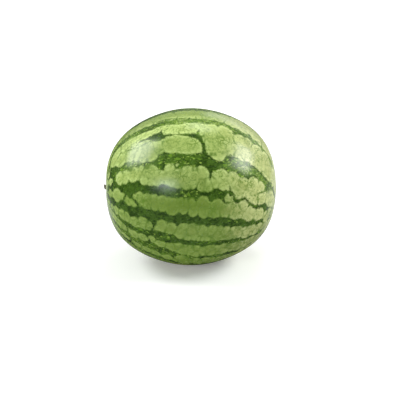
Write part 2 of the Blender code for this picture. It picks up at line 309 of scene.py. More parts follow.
# Where the colours change, in mm unless it says otherwise
STRIPE_EDGE = (-1.2, 1.3)  # from the dark to the light side of a stripe's edge
RAGGED = (6.0, 3.4)  # how ragged that edge is on a weak and on a strong stripe
EDGE_WAVER = 3.8  # and how wavy
SEAM_WIDTH = 3.6  # of the darker crease between two lobes
SHOULDER_RISE = (-110.0, -102.0)  # along the fruit, where the light bands grow paler
SHOULDER_FALL = (-102.0, -78.0)  # and where that ends
BLOSSOM_SIDE = (28.0, 85.0)  # where they turn to the blossom end's tint, which carries painted sheen
SPOT_EDGE = (14.0, 37.0)  # degrees from straight below, seen from the fruit's middle
SPOT_WAVER = 24.0  # degrees
SCAR_EDGE = (4.3, 5.6)
COLLAR_EDGE = (5.6, 6.8)

# Flecks and finish
STREAK = (0.6, 1.0, 1.0)  # marks in the stripes are drawn out along the fruit
FLECKS = ((0.24, 0.05, DARK_MOTTLE), (0.44, 0.21, FLECK))  # scale, how many more, colour
RIND_ROUGHNESS = (0.20, 0.29)
RIND_SPECULAR = 0.36
RIND_RELIEF = (0.22, 0.0004)  # strength, and height in metres
STEM_ROUGHNESS = 0.85
STEM_RELIEF = (0.6, 0.0003)

# Camera, at the photograph's viewing angle
ELEVATION = math.radians(20)
DISTANCE = 1.6
PHOTO_PIXELS = 400
FRUIT_PIXEL = (190.14, 186.69)  # where the fruit's middle is in the photograph
FRUIT_PIXELS = 170.7  # the fruit's length in the photograph
PIXEL = 0.240 / FRUIT_PIXELS  # metres of the fruit that one of its pixels spans
SENSOR = 36.0
SIGHT = 50  # metres that the camera sees

# Soft boxes: direction from the fruit, distance, size, watts, turn in degrees and colour
WHITE = (1, 1, 1)
SOFTBOXES = (
    ("left_box", (-0.74, 0.09, 0.667), 1.5, (0.68, 0.70), 15.6, -39, WHITE),
    ("right_box", (0.787, -0.058, 0.614), 1.5, (0.54, 0.82), 17.2, 105, WHITE),
    ("rear_box", (0.73, 0.53, 0.435), 1.6, (0.80, 0.50), 1.2, 0, WHITE),
    ("top_box", (0.14, 0.36, 0.92), 1.6, (0.60, 0.45), 4.2, 0, WHITE),
    ("back_box", (0.30, 0.86, 0.42), 1.6, (0.66, 0.42), 1.2, 0, WHITE),
    ("front_box", (-0.47, -0.84, 0.295), 1.6, (0.54, 0.28), 6.2, 0, (0.85, 0.93, 0.97)),
)

# Brightness of the world round the fruit: what lights it, and what its gloss mirrors
SKY_EVEN = 0.06  # from every side
SKY_ABOVE = 0.62  # and how much more from above
SKY_TILT = (-0.22, -0.42, 0.88)  # the direction that most of the soft light comes from
FRONT_GLOSS = 0.06  # on the side that the gloss sees dark
BACK_GLOSS = 0.7  # and on the side that it sees bright
HIGH_GLOSS = 0.34  # above the horizon behind the fruit
HIGH_UP = (0.0, 0.12)  # where that begins, upwards
HIGH_AWAY = (0.1, 0.4)  # and away from the camera
GLOSS_SIDE = (0.80, 0.60, 0.05)  # the direction of that bright side
GLOSS_SPREAD = (0.45, 0.98)  # cosines from it over which it brightens

# The floor: how white it is and, in metres from the origin, where its mirrored part ends
FLOOR_REACH = 6.0
FLOOR_ROUGHNESS = 0.7
FLOOR_SPECULAR = 0.1
FLOOR_SEEN = 0.95  # how white it is for the camera
FLOOR_BOUNCE = 0.82  # for the soft light that it gives back to the fruit
FLOOR_MIRRORED = 0.60  # in the fruit's gloss, beside and just behind it
FLOOR_DIM = 0.10  # in the gloss, everywhere else
FLOOR_GLOW = (0.18, 0.80)  # what it sends out near the fruit and far from it, for the camera
FLOOR_NEAR_FAR = (0.2, 2.0)  # where near ends and far begins
FLOOR_FRONT = (-0.05, 0.12)  # the mirrored part begins between these, towards the back
FLOOR_LEFT = (-0.42, -0.24)  # and between these from the left
FLOOR_DEPTHS = ((-0.08, 0.40), (0.14, 1.10))  # a place across, and how far back it ends there


class Graph:
    """Adds nodes to a shader or geometry tree and links them as plain expressions."""

    def __init__(self, tree):
        self.tree = tree

    def add(self, kind, inputs=None, **settings):
        """A new node with its settings, and with its inputs given by name or by place."""
        node = self.tree.nodes.new(kind)
        for name, value in settings.items():
            setattr(node, name, value)
        for key, value in (inputs or {}).items():
            self.put(node.inputs[key], value)
        return node

    def put(self, socket, value):
        if isinstance(value, bpy.types.NodeSocket):
            self.tree.links.new(value, socket)
        elif value is not None:
            socket.default_value = value

    def math(self, operation, a, b=None, clamp=False):
        node = self.add("ShaderNodeMath", {0: a, 1: b}, operation=operation, use_clamp=clamp)
        return node.outputs[0]

    def plus(self, a, b, clamp=False):
        return self.math("ADD", a, b, clamp)

    def minus(self, a, b, clamp=False):
        return self.math("SUBTRACT", a, b, clamp)

    def times(self, a, b, clamp=False):
        return self.math("MULTIPLY", a, b, clamp)

    def over(self, a, b):
        return self.math("DIVIDE", a, b)

    def power(self, a, b):
        return self.math("POWER", a, b)

    def vector(self, operation, a, b=None, scale=None):
        inputs = {0: a, 1: b} if scale is None else {0: a, "Scale": scale}
        node = self.add("ShaderNodeVectorMath", inputs, operation=operation)
        return node.outputs["Value" if operation in ("LENGTH", "DOT_PRODUCT") else "Vector"]

    def split(self, a):
        return self.add("ShaderNodeSeparateXYZ", {0: a}).outputs

    def join(self, x, y, z):
        return self.add("ShaderNodeCombineXYZ", {0: x, 1: y, 2: z}).outputs[0]

    def ramp(self, value, low, high, out_low=0.0, out_high=1.0, smooth=True):
        """Goes from one level to another while a value goes from low to high."""
        inputs = dict(enumerate((value, low, high, out_low, out_high)))
        course = "SMOOTHSTEP" if smooth else "LINEAR"
        node = self.add("ShaderNodeMapRange", inputs, interpolation_type=course)
        return node.outputs["Result"]

    def blend(self, share, a, b):
        """Colour a where the share is 0, and colour b where it is 1."""
        node = self.add("ShaderNodeMix", {"Factor": share}, data_type="RGBA")
        for name, value in (("A", a), ("B", b)):
            socket = [s for s in node.inputs if s.name == name and s.type == "RGBA"][0]
            self.put(socket, (*value, 1.0) if isinstance(value, tuple) else value)
        return [s for s in node.outputs if s.type == "RGBA"][0]

    def noise(self, where, scale, detail=2.0, roughness=0.5):
        inputs = {"Vector": where, "Scale": scale, "Detail": detail, "Roughness": roughness}
        return self.add("ShaderNodeTexNoise", inputs).outputs[0]

    def sway(self, where, scale, detail=2.0, roughness=0.5):
        """Noise about zero."""
        return self.minus(self.noise(where, scale, detail, roughness), 0.5)

    def wander(self, where, scale, reach):
        """A place moved by noise, up to half the reach in each direction."""
        node = self.add("ShaderNodeTexNoise", {"Vector": where, "Scale": scale})
        offset = self.vector("SUBTRACT", node.outputs["Color"], (0.5, 0.5, 0.5))
        return self.vector("ADD", where, self.vector("SCALE", offset, scale=reach))

    def cells(self, where, scale, feature="F1"):
        inputs = {"Vector": where, "Scale": scale}
        return self.add("ShaderNodeTexVoronoi", inputs, feature=feature).outputs


# The meshes, made by Geometry Nodes

def start_tree(name, sizes, paint, result):
    """A Geometry Nodes tree with a named input for each size and for its material."""
    tree = bpy.data.node_groups.new(name, "GeometryNodeTree")
    for label, value in sizes.items():
        kind = "NodeSocketInt" if isinstance(value, int) else "NodeSocketFloat"
        socket = tree.interface.new_socket(label, in_out="INPUT", socket_type=kind)
        socket.default_value = value
    tree.interface.new_socket(paint, in_out="INPUT", socket_type="NodeSocketMaterial")
    tree.interface.new_socket(result, in_out="OUTPUT", socket_type="NodeSocketGeometry")
    g = Graph(tree)
    return tree, g, g.add("NodeGroupInput").outputs


def finish_tree(g, shape, paint):
    """Shades a shape smoothly, makes it real and gives it its material as the tree's result."""
    smooth = g.add("GeometryNodeSetShadeSmooth", {"Geometry": shape})
    real = g.add("GeometryNodeRealizeInstances", {"Geometry": smooth.outputs[0]})
    dressed = g.add("GeometryNodeSetMaterial", {"Geometry": real.outputs[0], "Material": paint})
    g.add("NodeGroupOutput", {0: dressed.outputs[0]})


def keep(g, shape, name, value, kind="FLOAT"):
    """Stores a value at every point of a shape."""
    inputs = {"Geometry": shape, "Name": name, "Value": value}
    return g.add("GeometryNodeStoreNamedAttribute", inputs, data_type=kind,
                 domain="POINT").outputs["Geometry"]


def reshape(g, shape, position):
    """Moves every point of a shape to its new position."""
    return g.add("GeometryNodeSetPosition", {"Geometry": shape, "Position": position}).outputs[0]


def bell(g, distance, height, radius, power):
    """A round rise or hollow: full height at its middle, gone past its radius."""
    share = g.power(g.over(distance, radius), power)
    return g.times(height, g.math("EXPONENT", g.times(share, -1.0)))


def rind_tree():
    """Geometry Nodes tree that rounds a cube of fine steps into the fruit."""
    sizes = {"Length": LENGTH, "Diameter": DIAMETER, "Bluntness": BLUNTNESS,
             "Shoulder": SHOULDER, "Lift": LIFT, "Pole drop": POLE_DROP,
             "Ribs": RIBS, "Rib depth": RIB_DEPTH, "Stem hollow depth": STEM_HOLLOW[0],
             "Stem hollow radius": STEM_HOLLOW[1], "Blossom hollow depth": BLOSSOM_HOLLOW[0],
             "Blossom hollow radius": BLOSSOM_HOLLOW[1], "Scar height": SCAR[0],
             "Scar radius": SCAR[1], "Flat sink": FLAT_SINK, "Wave depth": WAVE_DEPTH,
             "Blossom reach": 0.0, "Steps": CUBE_STEPS}
    tree, g, given = start_tree("melon_rind", sizes, "Rind", "Fruit")
    steps = {f"Vertices {axis}": given["Steps"] for axis in "XYZ"}
    cube = g.add("GeometryNodeMeshCube", {"Size": (2.0, 2.0, 2.0), **steps})
    place = g.add("GeometryNodeInputPosition").outputs[0]
    even = g.vector("TANGENT", g.vector("SCALE", place, scale=math.pi / 4))
    ball = g.vector("NORMALIZE", even)
    shape = keep(g, cube.outputs["Mesh"], "heading", ball, "FLOAT_VECTOR")
    radius, heading = rind_radius(g, given, ball)
    shape = reshape(g, shape, g.vector("SCALE", heading, scale=radius))
    finish_tree(g, rest_on_ground(g, given, shape), given["Rind"])
    return tree


def rest_on_ground(g, given, shape):
    """Sets the fruit against the blossom end of the solid, and flattens its resting spot."""
    box = g.add("GeometryNodeBoundBox", {0: shape})
    low = g.split(box.outputs["Min"])
    high = g.split(box.outputs["Max"])
    shift = g.join(g.minus(given["Blossom reach"], high[0]), 0.0,
                   g.times(g.plus(low[2], given["Flat sink"]), -1.0))
    moved = g.vector("ADD", g.add("GeometryNodeInputPosition").outputs[0], shift)
    x, y, z = g.split(moved)
    return reshape(g, shape, g.join(x, y, g.math("MAXIMUM", z, 0.0)))


def rind_radius(g, given, ball):
    """The fruit's radius towards each point of a ball, and that direction once bent."""
    x, y, z = g.split(ball)
    polar = g.math("ARCCOSINE", g.times(x, -1.0))
    around = g.math("ARCTAN2", z, g.times(y, -1.0))
    bent_x, bent_z = bend(g, given, x, z)
    heading = g.join(bent_x, y, bent_z)
    radius = outline(g, given, bent_x, bent_z)

    girth = g.minus(1.0, g.power(x, 2.0))
    phase = g.times(g.plus(around, math.pi / 2), given["Ribs"])
    ridge = g.times(g.math("COSINE", phase), girth)
    radius = g.plus(radius, g.times(given["Rib depth"], ridge))

    from_stem = g.times(radius, polar)
    from_blossom = g.times(radius, g.minus(math.pi, polar))
    stem = bell(g, from_stem, given["Stem hollow depth"], given["Stem hollow radius"], 2.0)
    blossom = bell(g, from_blossom, given["Blossom hollow depth"],
                   given["Blossom hollow radius"], 2.0)
    scar = bell(g, from_blossom, given["Scar height"], given["Scar radius"], SCAR_SQUARENESS)
    radius = g.plus(g.minus(radius, g.plus(stem, blossom)), scar)
    swell = g.noise(heading, WAVE_SCALE, detail=1.5)
    return g.minus(radius, g.times(given["Wave depth"], swell)), heading


def bend(g, given, x, z):
    """Lowers directions towards the blossom end, whose pole sits below the long axis."""
    half = g.times(g.plus(x, 1.0), 0.5)
    drop = g.times(given["Pole drop"], g.power(half, 2.0))
    cosine, sine = g.math("COSINE", drop), g.math("SINE", drop)
    return (g.plus(g.times(x, cosine), g.times(z, sine)),
            g.minus(g.times(z, cosine), g.times(x, sine)))


def outline(g, given, x, z):
    """The radius of the fruit's blunt outline, with the girth and the shoulders standing out."""
    along = g.plus(g.times(x, g.math("COSINE", given["Lift"])),
                   g.times(z, g.math("SINE", given["Lift"])))
    along = g.math("MAXIMUM", g.math("MINIMUM", along, 1.0), -1.0)
    across = g.math("SQRT", g.minus(1.0, g.power(along, 2.0)))
    blunt = given["Bluntness"]
    lengthways = g.over(g.math("ABSOLUTE", along), g.times(given["Length"], 0.5))
    sideways = g.over(across, g.times(given["Diameter"], 0.5))
    total = g.plus(g.power(lengthways, blunt), g.power(sideways, blunt))
    radius = g.power(total, g.over(-1.0, blunt))
    turn = g.math("COSINE", g.times(g.math("ARCCOSINE", along), SHOULDER_WAVES))
    return g.minus(radius, g.times(given["Shoulder"], turn))


def stub_tree():
    """Geometry Nodes tree that bends a ball into the ribbed, dry stub with its dished cut."""
    sizes = {"Length": STUB_LENGTH, "Neck": STUB_NECK - STUB_TRIM, "Flare": STUB_FLARE,
             "Foot": STUB_FOOT, "Swell": STUB_SWELL, "Ribs": STUB_RIBS,
             "Rib depth": STUB_RIB_DEPTH, "Lean": STUB_LEAN, "Slant": STUB_SLANT,
             "Dish": STUB_DISH, "Grooves": STUB_GROOVES, "Hollow depth": STEM_HOLLOW[0],
             "Hollow radius": STEM_HOLLOW[1], "Base x": 0.0, "Base z": 0.0,
             "Segments": STUB_SEGMENTS, "Rings": STUB_RINGS}
    tree, g, given = start_tree("melon_stub", sizes, "Stem", "Stub")
    ball = g.add("GeometryNodeMeshUVSphere", {key: given[key] for key in ("Segments", "Rings")})
    x, y, z = g.split(g.vector("NORMALIZE", g.add("GeometryNodeInputPosition").outputs[0]))
    turn = g.math("ARCTAN2", y, x)
    cosine, sine = g.math("COSINE", turn), g.math("SINE", turn)
    path = g.over(g.math("ARCCOSINE", g.times(z, -1.0)), math.pi)
    foot = g.ramp(path, 0.0, STUB_PATH[0], smooth=False)
    side = g.ramp(path, *STUB_PATH, smooth=False)
    share = g.ramp(path, STUB_PATH[1], 1.0, 1.0, 0.0, smooth=False)
    height = g.times(side, given["Length"])

    radius = stub_radius(g, given, turn, height, side)
    radius = g.times(g.times(radius, foot), share)
    rise = g.times(radius, sine)
    across = g.times(radius, g.times(cosine, -1.0))
    slant = g.times(g.math("TANGENT", given["Slant"]), g.times(side, rise))
    reach = g.minus(g.plus(height, slant), cut_depth(g, given, share, side, rise, across))
    reach = g.plus(reach, seat(g, given, radius, side))
    lean = g.times(given["Lean"], g.power(side, 2.0))
    place = g.join(g.minus(given["Base x"], reach), across,
                   g.plus(g.plus(rise, lean), given["Base z"]))
    shape = keep(g, ball.outputs["Mesh"], "cut_face", g.minus(1.0, share))
    finish_tree(g, reshape(g, shape, place), given["Stem"])
    return tree


def stub_radius(g, given, turn, height, side):
    """The stub's radius up its side: flared foot, ribs, swollen end and the fibres' grooves."""
    flare = g.math("EXPONENT", g.over(g.times(height, -1.0), given["Foot"]))
    flare = g.times(flare, given["Flare"])
    swell = g.times(g.power(side, 3.0), given["Swell"])
    ribs = g.times(g.math("COSINE", g.times(turn, given["Ribs"])), given["Rib depth"])
    ring = g.join(g.math("COSINE", turn), g.math("SINE", turn), g.times(side, 0.25))
    fibres = g.times(g.ramp(g.noise(ring, GROOVE_SCALE, detail=3.0), 0.35, 0.7), given["Grooves"])
    fibres = g.times(fibres, g.ramp(side, 0.0, 0.25))
    return g.minus(g.plus(g.plus(given["Neck"], flare), g.plus(swell, ribs)), fibres)


def cut_depth(g, given, share, side, rise, across):
    """How far the cut face is dished and worn in."""
    dish = g.times(g.minus(1.0, g.power(share, 2.0)), given["Dish"])
    worn = g.noise(g.vector("SCALE", g.join(rise, across, side), scale=WORN_SCALE), 1.0, detail=3.0)
    worn = g.times(g.times(worn, g.ramp(side, 0.9, 1.0)), given["Grooves"])
    return g.plus(dish, worn)


def seat(g, given, radius, side):
    """How far the stub's foot stands out to follow the rind's hollow at an even gap."""
    out = g.minus(given["Hollow depth"],
                  bell(g, radius, given["Hollow depth"], given["Hollow radius"], 2.0))
    fall = g.over(g.power(radius, 2.0), 2 * END_CURVE)
    return g.times(g.minus(out, fall), g.minus(1.0, side))


def new_object(name, data):
    """An object in the scene."""
    made = bpy.data.objects.new(name, data)
    bpy.context.scene.collection.objects.link(made)
    return made


def grow(name, tree, inputs):
    """The plain mesh object that a Geometry Nodes tree makes from its named inputs."""
    seed = new_object(name + "_seed", bpy.data.meshes.new(name + "_seed"))
    modifier = seed.modifiers.new(name, "NODES")
    modifier.node_group = tree
    for item in tree.interface.items_tree:
        if item.item_type == "SOCKET" and item.name in inputs:
            modifier[item.identifier] = inputs[item.name]
    depsgraph = bpy.context.evaluated_depsgraph_get()
    mesh = bpy.data.meshes.new_from_object(seed.evaluated_get(depsgraph))
    bpy.data.objects.remove(seed)
    mesh.name = name
    return new_object(name, mesh)


# Markings

def triples(data, field, count):
    """A mesh layer's vectors as rows."""
    values = np.zeros(count * 3)
    data.foreach_get(field, values)
    return values.reshape(-1, 3)


def search_tree(points):
    tree = kdtree.KDTree(len(points))
    for i, point in enumerate(points):
        tree.insert(point, i)
    tree.balance()
    return tree


class Skin:
    """The rind's points with their two angles, to lay markings on."""

    def __init__(self, mesh):
        count = len(mesh.vertices)
        self.points = triples(mesh.vertices, "co", count)
        ball = triples(mesh.attributes["heading"].data, "vector", count)
        self.polar = np.degrees(np.arccos(np.clip(-ball[:, 0], -1, 1)))
        self.around = np.degrees(np.arctan2(ball[:, 2], -ball[:, 1]))
        high = self.points.max(axis=0)
        self.middle = np.array([high[0] - LENGTH / 2, 0.0, high[2] - DIAMETER / 2])
        self.girth = np.hypot(self.points[:, 1], self.points[:, 2] - self.middle[2])
        self.tree = search_tree(self.points)
        self.ball_tree = search_tree(ball)

    def at(self, polar, around):
        """The rind's point at two angles, from the nearest few points."""
        p, a = math.radians(polar), math.radians(around)
        wanted = Vector((-math.cos(p), -math.sin(p) * math.cos(a), math.sin(p) * math.sin(a)))
        near = self.ball_tree.find_n(wanted, 4)
        weights = np.array([1 / (distance + 1e-6) ** 2 for _, _, distance in near])
        return (weights[:, None] * self.points[[i for _, i, _ in near]]).sum(0) / weights.sum()

    def near(self, polar, around, reach):
        """The points within so many mm of a place, and each one's distance in mm."""
        found = self.tree.find_range(self.at(polar, around), reach * MM)
        return (np.array([i for _, i, _ in found], int),
                np.array([distance for _, _, distance in found]) / MM)


def smooth_line(stations, values, where):
    """A smooth curve through values at rising stations, read at any places."""
    stations, values = np.array(stations, float), np.array(values, float)
    slope = np.gradient(values, stations)
    left = np.clip(np.searchsorted(stations, where, side="right") - 1, 0, len(stations) - 2)
    step = stations[left + 1] - stations[left]
    t = np.clip((where - stations[left]) / step, 0, 1)
    return ((2 * t**3 - 3 * t**2 + 1) * values[left] + (t**3 - 2 * t**2 + t) * step * slope[left]
            + (3 * t**2 - 2 * t**3) * values[left + 1] + (t**3 - t**2) * step * slope[left + 1])


def all_stripes():
    """The listed stripes, and those of the far side, which wander by a seeded rule."""
    stripes = [np.array(points, float) for points in STRIPES.values()]
    draw = np.random.default_rng(SEEDS["far stripes"])
    polar = np.linspace(0, 180, 16)
    taper = np.interp(polar, *zip(*STRIPE_TAPER))
    for middle in BACK_STRIPES:
        around = middle + draw.normal(0, FAR_WANDER, len(polar)) * taper
        half = draw.uniform(*FAR_HALF_WIDTHS, len(polar)) * taper
        depth = draw.uniform(*FAR_DEPTHS, len(polar))
        stripes.append(np.stack([polar, around, half, depth], 1))
    return stripes


def on_stripe(stripe, column, polar):
    """A stripe's angle around, half width or depth, as its column says, at one polar angle."""
    return smooth_line(stripe[:, 0], stripe[:, column], np.atleast_1d(float(polar)))[0]


def in_order(stripes):
    """The stripes by the angle around at which they cross the middle."""
    return sorted(stripes, key=lambda stripe: on_stripe(stripe, 1, 90) % 360)


def rule_strokes(stripes):
    """Spikes and bridges of the far side, from one stripe into the band above it."""
    draw = np.random.default_rng(SEEDS["far strokes"])
    order = in_order(stripes[len(STRIPES):])
    strokes = []
    for lower, upper in zip(order, order[1:]):
        for polar in draw.uniform(*FAR_STROKE_PLACES):
            start = on_stripe(lower, 1, polar)
            width = (on_stripe(upper, 1, polar) - start) % 360
            reach = draw.choice(FAR_STROKE_REACHES)
            lean = draw.uniform(-FAR_STROKE_LEAN, FAR_STROKE_LEAN)
            bow = draw.uniform(-FAR_STROKE_BOW, FAR_STROKE_BOW)
            thick = draw.uniform(*FAR_STROKE_ROOTS)
            ends = ((0.0, thick), (0.4, 0.5), (0.75, 0.3), (1.0, thick if reach == 1.0 else 0.1))
            strokes.append([
                (polar + lean * share * reach + bow * math.sin(math.pi * share),
                 start + width * share * reach, half if half >= 1 else half * thick)
                for share, half in ends])
    return strokes


def rule_lobes(stripes):
    """Lobes along the edges and the middle of every light band where none are listed."""
    draw = np.random.default_rng(SEEDS["far lobes"])
    order = in_order(stripes)
    lobes = []
    for lower, upper in zip(order, order[1:] + order[:1]):
        for row in ("lower edge", "middle", "upper edge"):
            polar = draw.uniform(*FAR_LOBES_START)
            while polar < FAR_LOBES_END:
                size = draw.uniform(*FAR_LOBE_SIZES) * np.interp(polar, *zip(*LOBE_TAPER))
                girth = max(MEAN_RADIUS * math.sin(math.radians(polar)), LEAST_GIRTH)
                start = on_stripe(lower, 1, polar)
                width = (on_stripe(upper, 1, polar) - start) % 360
                if row == "lower edge":
                    step = math.degrees((on_stripe(lower, 2, polar) + size - OVERLAP) / girth)
                elif row == "upper edge":
                    half = on_stripe(upper, 2, polar)
                    step = width - math.degrees((half + size - OVERLAP) / girth)
                else:
                    step = width * draw.uniform(*MIDDLE_ROW)
                around = (start + step + 180) % 360 - 180
                if not set_by_hand(polar, around):
                    lobes.append((polar, around, size))
                polar += size * draw.uniform(*FAR_LOBE_STEPS) / MM_PER_DEGREE
    return lobes


def set_by_hand(polar, around):
    """Whether the lobes of this place are in the list, band by band."""
    return any(low < around <= high and start < polar < end
               for low, high, start, end in HAND_SET)


class Layers:
    """The rind's marks, each a value at every point of it."""

    def __init__(self, skin):
        count = len(skin.points)
        self.skin = skin
        self.edge = np.full(count, FAR)  # mm outside the nearest stripe
        self.strength = np.ones(count)  # how deep that stripe's colour is
        self.margin = np.ones(count)  # mm from its edge to the plain middle of the band
        self.best = np.full(count, -LOBE_FAR)  # mm inside the lobe that is deepest here
        self.second = self.best.copy()
        self.tone = np.zeros(count)
        self.crackle = np.zeros(count)
        self.smooth = np.zeros(count)
        self.stroke = np.full(count, FAR)  # mm outside the nearest stroke
        self.stroke_strength = np.ones(count)

    def lay_stripe(self, stripe):
        skin = self.skin
        share, more = CORE_GROWTH
        centre, width, depth = (smooth_line(stripe[:, 0], stripe[:, column], skin.polar)
                                for column in (1, 2, 3))
        off = np.abs((skin.around - centre + 180) % 360 - 180)
        outside = np.radians(off) * skin.girth / MM - width
        nearest = outside < self.edge
        self.edge[nearest] = outside[nearest]
        self.margin[nearest] = np.clip(width[nearest] * share + more, *CORE_MARGIN)
        self.strength[nearest] = depth[nearest]

    def lay_lobe(self, polar, around, size, tone):
        index, distance = self.skin.near(polar, around, size + LOBE_REACH)
        inside = size - distance
        self.second[index] = np.maximum(self.second[index],
                                        np.minimum(self.best[index], inside))
        deeper = inside > self.best[index]
        self.best[index[deeper]] = inside[deeper]
        self.tone[index[deeper]] = tone

    def lay_patch(self, layer, polar, around, size):
        """Raises a layer towards 1 round one place."""
        index, distance = self.skin.near(polar, around, size)
        layer[index] = np.maximum(layer[index], 1 - (distance / size) ** 2)

    def lay_stroke(self, stroke, depth):
        points = self.skin.points
        ends = [(self.skin.at(polar, around), width) for polar, around, width in stroke]
        for (a, wide_a), (b, wide_b) in zip(ends, ends[1:]):
            reach = b - a
            t = np.clip((points - a) @ reach / (reach @ reach), 0, 1)
            off = np.linalg.norm(points - a - t[:, None] * reach, axis=1) / MM
            outside = off - wide_a - t * (wide_b - wide_a)
            nearest = outside < self.stroke
            self.stroke[nearest] = outside[nearest]
            self.stroke_strength[nearest] = depth


def lay_all(skin):
    """Every stripe, lobe, stroke and patch, those listed and those by a seeded rule."""
    layers = Layers(skin)
    stripes = all_stripes()
    for stripe in stripes:
        layers.lay_stripe(stripe)
    draw = np.random.default_rng(SEEDS["tones and far patches"])
    for polar, around, size in LOBES + rule_lobes(stripes):
        layers.lay_lobe(polar, around, size, draw.uniform(-1, 1))
    for name, stroke in STROKES.items():
        layers.lay_stroke(stroke, STROKE_DEPTHS.get(name, STROKE_DEPTH))
    for stroke in rule_strokes(stripes):
        layers.lay_stroke(stroke, FAR_STROKE_DEPTH)
    far = [(*place, draw.uniform(*FAR_SMOOTH_SIZES)) for place in draw.uniform(*FAR_SMOOTH)]
    for layer, patches in ((layers.crackle, CRACKLES), (layers.smooth, SMOOTH + far)):
        for polar, around, size in patches:
            layers.lay_patch(layer, polar, around, size)
    return layers


def lay_markings(mesh):
    """Stores at each point what the rind's material reads; returns the skin."""
    skin = Skin(mesh)
    layers = lay_all(skin)
    light = np.maximum(layers.edge - layers.margin, layers.best)
    light = np.minimum(light, layers.stroke)
    pull = 1 / (1 + np.exp(np.clip(layers.stroke - layers.edge, -20, 20) / STROKE_PULL))
    away = (skin.points - skin.middle) / np.linalg.norm(skin.points - skin.middle, axis=1)[:, None]
    marks = {
        "light_depth": light,  # mm inside a light patch; below 0 it is in a stripe
        "seam": layers.best - layers.second + SMOOTHING * layers.smooth,
        "lobe_tone": layers.tone,
        "strength": layers.strength + pull * (layers.stroke_strength - layers.strength),
        "crackle": layers.crackle,
        "fray": 1 + pull * STROKE_FRAY,
        "calm": np.clip(skin.girth / MM / CALM_GIRTH, 0.3, 1.0),
        # painted light and shade by the angle around, mixed with the bands' own paleness
        "paleness_and_painted_light": np.interp(skin.around, *zip(*PALENESS_AND_PAINTED_LIGHT)),
        "from_stem": np.radians(skin.polar) * LENGTH / 2 / MM,
        "from_blossom": np.radians(180 - skin.polar) * LENGTH / 2 / MM,
        "from_below": np.degrees(np.arccos(np.clip(-away[:, 2], -1, 1))),
    }
    for name, values in marks.items():
        layer = mesh.attributes.new(name, "FLOAT", "POINT")
        layer.data.foreach_set("value", np.asarray(values, np.float32))
    return skin


# Materials

def new_material(name):
    made = bpy.data.materials.new(name)
    made.use_nodes = True
    g = Graph(made.node_tree)
    return made, g, made.node_tree.nodes["Principled BSDF"]


def attribute(g, name):
    return g.add("ShaderNodeAttribute", attribute_name=name).outputs["Fac"]


def in_millimetres(g):
    """Object coordinates in millimetres."""
    place = g.add("ShaderNodeTexCoord").outputs["Object"]
    return g.vector("SCALE", place, scale=1 / MM)


def roughen(g, shader, height, strength, distance):
    """Fine relief of the surface, from a pattern's height."""
    bump = g.add("ShaderNodeBump", {"Strength": strength, "Distance": distance, "Height": height})
    g.put(shader.inputs["Normal"], bump.outputs[0])


def rind_material():
    """Waxy rind: stripes and light patches, then its pale ground spot and its two ends."""
    made, g, shader = new_material("melon_rind")
    place = in_millimetres(g)
    strength = attribute(g, "strength")
    fine = g.noise(place, 0.33, detail=4.0, roughness=0.65)
    swing = g.sway(place, 0.11, detail=1.0)
    depth = ragged_depth(g, place, strength, swing)

    streaks = g.noise(g.vector("MULTIPLY", place, STREAK), 0.30, detail=3.0, roughness=0.6)
    start = g.plus(g.times(strength, 0.5), 0.24)
    gaps = g.ramp(streaks, start, g.plus(start, 0.16), 0.0, 0.8)
    lit = g.math("MAXIMUM", g.ramp(depth, *STRIPE_EDGE), gaps)
    colour = g.blend(lit, dark_stripes(g, place, strength),
                     light_patches(g, place, depth, fine))
    colour = two_ends(g, place, swing, ground_spot(g, place, fine, colour))
    g.put(shader.inputs["Base Color"], colour)

    g.put(shader.inputs["Roughness"], g.ramp(fine, 0.3, 0.7, *RIND_ROUGHNESS))
    shader.inputs["Specular IOR Level"].default_value = RIND_SPECULAR
    roughen(g, shader, g.noise(place, 0.22, detail=4.0, roughness=0.6), *RIND_RELIEF)
    return made


def ragged_depth(g, place, strength, swing):
    """How deep a point is in a light patch, with wavy and ragged edges, weak stripes most."""
    ragged = g.sway(place, 0.36, detail=3.0, roughness=0.7)
    ragged = g.times(ragged, g.ramp(strength, 0.4, 0.95, *RAGGED))
    ragged = g.times(ragged, attribute(g, "fray"))
    waver = g.plus(g.times(swing, EDGE_WAVER), ragged)
    return g.plus(attribute(g, "light_depth"), g.times(waver, attribute(g, "calm")))


def ground_spot(g, place, fine, colour):
    """The pale patch that lay on the ground."""
    waver = g.times(g.sway(place, 0.03, detail=3.0), SPOT_WAVER)
    spot = g.plus(attribute(g, "from_below"), waver)
    spot = g.times(g.ramp(spot, *SPOT_EDGE, 0.92, 0.0), g.ramp(fine, 0.3, 0.7, 1.0, 0.72))
    return g.blend(spot, colour, GROUND_SPOT)


def two_ends(g, place, swing, colour):
    """The corky scar at the blossom end and the dry collar round the stem."""
    scar = g.plus(attribute(g, "from_blossom"), g.times(g.sway(place, 0.8, detail=3.0), 1.6))
    worn = g.plus(scar, g.times(g.noise(place, 1.1, detail=4.0), 3.0))
    cork = g.blend(g.ramp(worn, 2.4, 4.4), CORK_PALE, CORK)
    colour = g.blend(g.ramp(scar, *SCAR_EDGE, 1.0, 0.0), colour, cork)
    collar = g.plus(attribute(g, "from_stem"), g.times(swing, 3.0))
    return g.blend(g.ramp(collar, *COLLAR_EDGE, 0.7, 0.0), colour, STEM_PALE)


